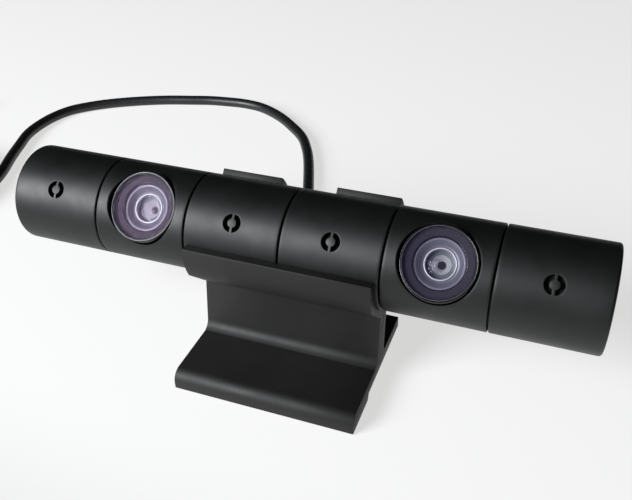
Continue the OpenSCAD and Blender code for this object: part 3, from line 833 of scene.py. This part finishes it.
# ---- Lens barrels ----
# A screwed aluminium barrel for each lens, turned, bead blasted and anodised in a violet grey,
# with a bright threaded ring that clamps the front element against its seat.
def turned_metal(name, dark, light, metallic, rough, pitch_mm, depth_mm):
    """Turned or rolled metal: a fine even tooling in relief, and a slight cloud in tone and gloss."""
    made, tree, shader, place = new_material(name, {"Metallic": metallic})
    cloud = add_node(tree, "ShaderNodeTexNoise", {
        "Vector": place, "Scale": 1 / (4 * MM), "Detail": 3})
    tooling = add_node(tree, "ShaderNodeTexNoise", {
        "Vector": place, "Scale": 1 / (pitch_mm * MM), "Detail": 2})
    tone = add_node(tree, "ShaderNodeMix", {
        0: cloud.outputs[0], 6: linear(dark), 7: linear(light)}, data_type="RGBA")
    gloss = add_node(tree, "ShaderNodeMapRange", {
        "Value": cloud.outputs[0], "From Min": 0.3, "From Max": 0.7,
        "To Min": rough * 0.85, "To Max": rough * 1.15})
    relief = add_node(tree, "ShaderNodeBump", {
        "Height": tooling.outputs[0], "Strength": 0.4, "Distance": depth_mm * MM})
    feed(tree, shader, tone.outputs[2], gloss.outputs[0], relief.outputs[0])
    return made


# Blasted and anodised metal looks soft and violet grey, and the bare ring catches a bright line
barrel_metal = turned_metal("anodised aluminium", "5E5D6B", "6C6A79", 0.2, 0.4, 0.15, 0.01)
bright_metal = turned_metal("bright turned aluminium", "B4B4BC", "CFCFD6", 0.5, 0.45, 0.1, 0.004)
for side_name, place in optic_places:
    barrel = turned("turned_lens_barrel_" + side_name, [
        (4.65, 9), (4.65, 10.1), (5.2, 10.2), (6.5, 11.55), (7.1, 11.6), (7.1, 7.2), (5.5, 7.2),
        (5.5, 0.8), (3.6, 0.8), (3.6, 9)], place, (barrel_metal,), edge=0.06)
    stands_for(barrel, "barrel_metal", "lens_barrel_" + side_name)
    ring = turned("bright_retaining_ring_" + side_name, [
        (4.1, 9.02), (4.62, 9.02), (4.62, 10.1), (4.5, 10.35), (4.25, 10.35), (4.1, 10.1)],
        place, (bright_metal,), edge=0.05)
    stands_for(ring, "bright_ring", "retaining_ring_" + side_name)


# ---- Lenses ----
# The lens's four polished glass elements, the front one with a magenta and green anti-reflection coat,
# are drawn as one dome; behind it lies the grey stop, which in the lens sits between them, its small
# hole the lens's pupil.
stop_r = 4.08
bowl_r = 2.75
pupil_r = 1.15

# Coated glass is dark and clear, with a violet sheen painted into its colour; below it a grey-blue stop,
# its tone a painted reflection, leads the eye down a bright bowl, partly a painted highlight, to a
# dead-black hole closed by a disc of painted shade
coated_glass = clouded("coated optical glass with painted sheen", {
    "Roughness": 0.1, "IOR": 1.6, "Alpha": 0.16,
    "Specular Tint": linear("E9C4F2"), "Coat Weight": 0.4, "Coat Tint": linear("C9F0DC")},
    3, "1A1424", "2E2038")
stop_painted_reflection = satin_plastic("grey-blue optical stop with painted reflection", "6E7A80", "7E8A90", 0.4, 0.3, 0.003)
bowl_metal_painted_highlight = turned_metal("polished aluminium with painted highlight", "DDDDE6", "F0F0F5", 0.25, 0.3, 0.1, 0.003)
pupil_painted_shade = satin_plastic("dead-black painted shade", "040405", "070708", 0.8, 0.2, 0.01)


def dome(radius, rim_z, front, back):
    """The profile of a lens element: a front and a back sag either side of its rim."""
    front_r = (radius ** 2 + front ** 2) / (2 * front)
    turns = spread(0, math.asin(radius / front_r), 20)
    face = [(front_r * math.sin(t), rim_z + front - front_r * (1 - math.cos(t))) for t in turns]
    face[0] = (0, rim_z + front)
    return face + [(radius, rim_z - 0.5), (radius * 0.6, rim_z - 0.5 - back), (0, rim_z - 0.5 - back)]


for side_name, place in optic_places:
    glass = turned("glass_lens_elements_" + side_name, dome(stop_r - 0.02, 9.15, 0.55, 0.02),
                   place, (coated_glass,), edge=0)
    stands_for(glass, "coated_glass", "lens_elements_" + side_name)
    stop = turned("stop_" + side_name, [
        (pupil_r, 6.3), (bowl_r, 8.3), (stop_r, 8.6), (stop_r, 6.1), (pupil_r, 6.1)],
        place, (stop_painted_reflection, bowl_metal_painted_highlight), (1,), edge=0.03)
    # A dead-black disc behind the stop's hole is painted shade for the dark inside of the lens
    pupil = turned("pupil_" + side_name, [(0, 5.9), (2.2, 5.9), (2.2, 6.08), (0, 6.08)],
                   place, (pupil_painted_shade,), edge=0)


# ---- Cable gland ----
# A strain relief moulded in soft black PVC onto the lead, clamped by its flange between the two
# frame halves. Outside it tapers over a row of flexing ribs down to the lead's own diameter.
rib_count = 4
rib_pitch = 2.1

# Soft PVC has a slightly greasy satin skin
soft_pvc = satin_plastic("moulded soft PVC", "0B0B0C", "151516", 0.5, 0.5, 0.02)
gland_profile = [(0, 10.2), (4.2, 10.2), (4.2, 11), (3.4, 11), (3.4, bar_r + 0.05), (4.3, bar_r + 0.05),
                 (4.3, bar_r + 1.2), (3.9, bar_r + 1.8)]
for i in range(rib_count):
    rib_z = bar_r + 2.2 + rib_pitch * i
    gland_profile += [(3.45 - 0.12 * i, rib_z), (3.75 - 0.2 * i, rib_z + 0.3),
                      (3.75 - 0.2 * i, rib_z + 1.2), (3.4 - 0.12 * i, rib_z + 1.5)]
gland_profile += [(2.75, bar_r + 11.0), (2.5, gland_reach), (0, gland_reach)]
gland = turned("ribbed_cable_gland", gland_profile, looking_back, (soft_pvc,), edge=0.1, steps=48)
stands_for(gland, "boot_rubber", "cable_gland")


# ---- Cord tie ----
# A hook-and-loop strap 8 mm wide, wrapped once round all the turns of the coil to hold them.
tie_w = 8
tie_t = 0.6
tie_turn = 250
coil_half = (turns_across - 1) * turn_pitch / 2 + cord_lay
coil_h = turn_pitch + cord_d


def woven(name, surface, thread_mm, uneven, middle, edge, strength, depth_mm, raised):
    """Cloth drawn as rows of threads, each with its own middle and edge colour and relief: painted
    highlight on the raised side, painted shade in the hollows.
    """
    made, tree, shader, place = new_material(name, surface)
    threads = add_node(tree, "ShaderNodeTexVoronoi", {
        "Vector": place, "Scale": 1 / (thread_mm * MM), "Randomness": uneven})
    tone = add_node(tree, "ShaderNodeMix", {
        0: threads.outputs["Distance"], 6: linear(middle), 7: linear(edge)}, data_type="RGBA")
    relief = add_node(tree, "ShaderNodeBump", {
        "Height": threads.outputs["Distance"], "Strength": strength,
        "Distance": depth_mm * MM}, invert=raised)
    feed(tree, shader, tone.outputs[2], normal=relief.outputs[0])
    return made


# Woven nylon is matt, with a little painted highlight on each raised loop and painted shade between them
woven_strap = woven("woven nylon strap", {"Roughness": 0.85, "Sheen Weight": 0.3},
                    0.45, 0.35, "1C1C1E", "060607", 0.7, 0.15, True)


def rounded_rectangle(half_w, half_h, corner, steps=5):
    """Points round a rectangle with rounded corners, about its own middle."""
    made = []
    for sx, sy, start in ((1, 1, 0), (-1, 1, 90), (-1, -1, 180), (1, -1, 270)):
        for t in spread(start, start + 90, steps):
            made.append((sx * (half_w - corner) + corner * math.cos(math.radians(t)),
                         sy * (half_h - corner) + corner * math.sin(math.radians(t))))
    return made


def through(name, rings, place, material, slot, node, close=False):
    """A piece beside the stand, from rings of as many points each: a closed loop, or capped."""
    shape = bmesh.new()
    made = [[shape.verts.new(p) for p in ring] for ring in rings]
    for a, b in zip(made, made[1:] + (made[:1] if close else [])):
        joined(shape, a, b)
    if not close:
        shape.faces.new(made[0])
        shape.faces.new(made[-1])
    bmesh.ops.transform(shape, matrix=place, verts=shape.verts)
    piece = finished(name, shape, material, 40)
    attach(piece, "stand")
    stands_for(piece, slot, node)
    return piece


tie_place = (Matrix.Scale(MM, 4) @ Matrix.Translation((*coil_at, 0))
             @ Matrix.Rotation(math.radians(tie_turn), 4, "Z")
             @ Matrix.Translation((coil_mean_d / 2, 0, tie_t + coil_h / 2))
             @ Matrix.Rotation(math.radians(90), 4, "X"))
tie_outer = rounded_rectangle(coil_half + tie_t, coil_h / 2 + tie_t, 2.6)
tie_inner = rounded_rectangle(coil_half + 0.1, coil_h / 2 + 0.1, 2.1)
tie_rings = [[(x, y, z) for x, y in ring] for ring, z in (
    (tie_outer, -tie_w / 2), (tie_outer, tie_w / 2), (tie_inner, tie_w / 2), (tie_inner, -tie_w / 2))]
tie = through("strap_cord_tie", tie_rings, tie_place, woven_strap, "tie_strap", "cord_tie", close=True)


# ---- Plug ----
# The lead ends in a generic flat plug: a ribbed relief and a grip, moulded in PVC over the
# solder joints, and a plain folded shell of tinned steel.
plug_at = (-234, 90, 4)
relief_l = 12
plug_l = 25
plug_half_w = 6.5
plug_half_h = 4
plug_place = (Matrix.Scale(MM, 4) @ Matrix.Translation(plug_at)
              @ Matrix.Rotation(math.radians(-90), 4, "X"))
corner_r = 1.6
groove_in = 0.3
relief_profile = [(0, -relief_l), (cord_lay + 0.2, -relief_l)]
for i in range(4):
    rib_z = -relief_l + 1.2 + 2.6 * i
    rib_r = cord_lay + 0.5 + 0.24 * i
    relief_profile += [(cord_lay + 0.25 + 0.22 * i, rib_z), (rib_r, rib_z + 0.3),
                       (rib_r, rib_z + 1.5), (cord_lay + 0.3 + 0.22 * i, rib_z + 1.8)]
relief_profile += [(3.6, -0.2), (3.6, 0), (0, 0)]
relief = turned("ribbed_plug_relief", relief_profile, plug_place, (soft_pvc,), body="stand", steps=48)
stands_for(relief, "plug_plastic", "plug_relief")
grip_walls = [(0, 0.8), (0.25, groove_in), (0.8, 0)]
for i in range(6):
    groove_z = 5 + 2 * i
    grip_walls += [(groove_z, 0), (groove_z + 0.35, groove_in), (groove_z + 0.85, groove_in),
                   (groove_z + 1.2, 0)]
grip_walls += [(plug_l - 0.8, 0), (plug_l - 0.25, groove_in), (plug_l, 0.8)]
grip_rings = [[(x, y, z) for x, y in rounded_rectangle(
    plug_half_w - inset, plug_half_h - inset, corner_r)] for z, inset in grip_walls]
grip = through("grip_plug_body", grip_rings, plug_place, soft_pvc, "plug_plastic", "plug_body")

# Tin over folded steel is bright and faintly clouded
tinned_steel = turned_metal("tinned steel", "8E8F90", "A9AAAB", 1.0, 0.32, 0.2, 0.004)
shell_walls = ((plug_l, 0), (plug_l + 9, 0), (plug_l + 9, 0.5), (plug_l + 1.5, 0.5))
shell_rings = [[(x, y, z) for x, y in rounded_rectangle(4.5 - wall, 2.2 - wall, 0.9 - wall)]
               for z, wall in shell_walls]
metal_shell = through("folded_plug_shell", shell_rings, plug_place, tinned_steel,
                      "tinned_steel", "plug_shell")


# ---- Foot pads ----
# Die-cut pads of black rubber, glued into shallow seats under the base. The rubber is dead matt,
# with the fine tooth of its sheet.
pad_rubber = satin_plastic("die-cut rubber", "0A0A0A", "121212", 0.85, 0.6, 0.05)


def dressed(material, *nodes):
    """Gives CAD nodes that keep their own shape their real material."""
    for node in nodes:
        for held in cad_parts[node].material_slots:
            held.material = material


dressed(pad_rubber, "front_foot_pad", "rear_foot_pads")


# ---- Inner frame ----
# Two half tubes of glass-filled black nylon that clamp the optics and boards between them. The
# glass fibres give the moulded skin a dry, slightly greyish bloom.
frame_plastic = satin_plastic("glass-filled black nylon", "0C0C0D", "17171A", 0.55, 0.4, 0.03)
dressed(frame_plastic, "upper_frame", "lower_frame")


# ---- Screws ----
# Small steel screws with thread-forming points, driven into the posts and boards. Their zinc
# plating is bright and a little blotchy.
plated_steel = turned_metal("zinc-plated steel", "8C8E90", "A8AAAA", 1.0, 0.35, 0.15, 0.006)
dressed(plated_steel, "frame_screws", "board_screws", "sensor_board_screws")


# ---- Sensors and their holders ----
# A satin black moulded holder over each image sensor takes the barrel's thread and a glossy,
# blue-green infrared filter. The sensor's cover glass shines dark blue.
holder_plastic = satin_plastic("moulded black LCP", "0F0F11", "18181B", 0.6, 0.3, 0.015)
filter_glass = satin_plastic("infrared cut glass", "5E8C94", "6C9CA3", 0.08, 2, 0.001, 0.02)
sensor_cover = satin_plastic("sensor cover glass", "10182A", "1D2A44", 0.12, 0.8, 0.001, 0.03)
dressed(holder_plastic, "lens_holder_left", "lens_holder_right")
dressed(filter_glass, "ir_filter_left", "ir_filter_right")
dressed(sensor_cover, "image_sensor_left", "image_sensor_right")


# ---- Boards ----
# Fibreglass boards with a green solder mask over their copper tracks, joined by amber film
# ribbons, with black resin chips, ivory nylon sockets and a tinned can over the processor.

# Solder mask: a glossy green coat, paler and raised where copper lies under it
solder_mask, mask_tree, mask_shader, mask_place = new_material(
    "solder-masked fibreglass", {"Roughness": 0.3, "IOR": 1.5})
mask_tracks = add_node(mask_tree, "ShaderNodeTexBrick", {
    "Vector": mask_place, "Scale": 1 / (2.4 * MM), "Mortar Size": 0.06,
    "Color1": linear("124A2B"), "Color2": linear("165735"), "Mortar": linear("2C7A4D")}, offset=0.37)
mask_relief = add_node(mask_tree, "ShaderNodeBump", {
    "Height": mask_tracks.outputs["Fac"], "Strength": 0.4, "Distance": 0.04 * MM})
feed(mask_tree, mask_shader, mask_tracks.outputs["Color"], normal=mask_relief.outputs[0])
dressed(solder_mask, "sensor_board_left", "sensor_board_right", "main_board", "mic_boards")

# Polyimide film: glossy amber, darker between its copper tracks
amber_film, film_tree, film_shader, film_place = new_material(
    "amber polyimide film", {"Roughness": 0.25, "IOR": 1.7})
film_tracks = add_node(film_tree, "ShaderNodeTexWave", {
    "Vector": film_place, "Scale": 1 / (3 * MM)}, bands_direction="Y")
film_tone = add_node(film_tree, "ShaderNodeMix", {
    0: film_tracks.outputs[0], 6: linear("9A5512"), 7: linear("C8842E")}, data_type="RGBA")
feed(film_tree, film_shader, film_tone.outputs[2])
dressed(amber_film, "sensor_flex_left", "sensor_flex_right")

# Chips are dull black, sockets ivory and satin, the gap pad chalky blue and the bracket grey
chip_resin = satin_plastic("epoxy chip resin", "0E0E0F", "161617", 0.6, 0.2, 0.01)
ivory_nylon = satin_plastic("ivory nylon", "CFC7AE", "DDD6C0", 0.45, 0.5, 0.01)
gap_pad = satin_plastic("silicone gap pad", "8FA1B5", "9FB0C3", 0.7, 0.6, 0.04)
sheet_metal = turned_metal("rolled aluminium sheet", "A9ABAE", "BDBFC2", 1.0, 0.35, 0.3, 0.008)
dressed(chip_resin, "image_processor", "memory_chips")
dressed(ivory_nylon, "board_connectors")
dressed(gap_pad, "thermal_pad")
dressed(sheet_metal, "optics_bracket")
dressed(tinned_steel, "shield_can")


# ---- Microphones ----
# Four tiny bright gilt cans on round boards. A matt silicone rubber boot seals each to its port,
# under a disc of fine black cloth whose threads hardly catch the light.
gilt_can = turned_metal("gilt brass", "9C7B3A", "B8954C", 1.0, 0.3, 0.2, 0.004)
boot_rubber = satin_plastic("moulded silicone rubber", "0D0D0E", "171718", 0.7, 0.5, 0.03)
# The port cloth's threads are painted lighter on their raised edges and darker in their hollows: painted
# highlight and shade
port_cloth = woven("woven port cloth", {"Roughness": 0.9},
                   0.18, 0.1, "030303", "0E0E0E", 0.6, 0.05, False)
dressed(gilt_can, "microphones")
dressed(boot_rubber, "mic_boots")
dressed(port_cloth, "mic_meshes")
